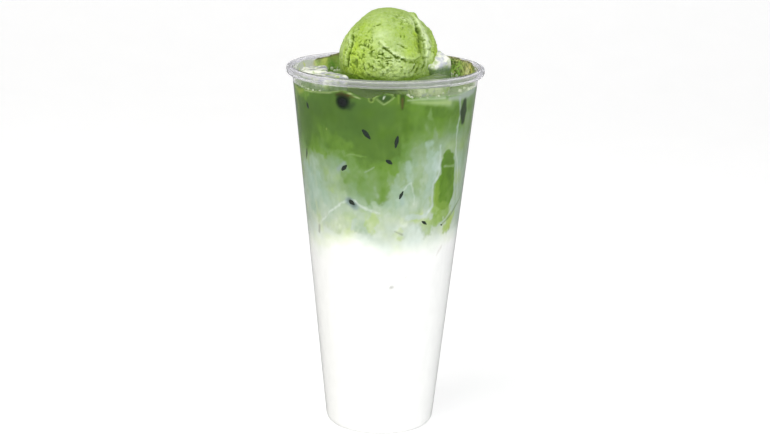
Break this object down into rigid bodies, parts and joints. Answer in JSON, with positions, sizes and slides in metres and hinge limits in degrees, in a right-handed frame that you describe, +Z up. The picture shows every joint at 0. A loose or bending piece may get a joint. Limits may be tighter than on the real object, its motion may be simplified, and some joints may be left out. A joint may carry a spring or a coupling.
{
  "type": "matcha float",
  "caption": "Tall clear tapered cup with a curled lip, filled with white milk below green matcha, and topped with ice and a folded scoop of matcha ice cream.",
  "frame": {"origin": "centre of the cup's foot, on the surface it stands on", "axes": "+Z up along the cup's axis, -Y towards the shown front, +X to the right of it"},
  "size_m": [0.095, 0.095, 0.2056],
  "materials": {
    "clear_plastic": "clear and smooth",
    "milk": "opaque white liquid",
    "matcha": "cloudy green liquid, marbled with milk",
    "ice_cream": "soft matt ice cream",
    "ice": "clear wet ice"
  },
  "bodies": {
    "root": {"cup": "clear_plastic", "milk": "milk", "matcha": "matcha", "scoop": "ice_cream", "ice_left": "ice", "ice_front_left": "ice", "ice_front_right": "ice", "ice_right": "ice"}
  },
  "joints": []
}
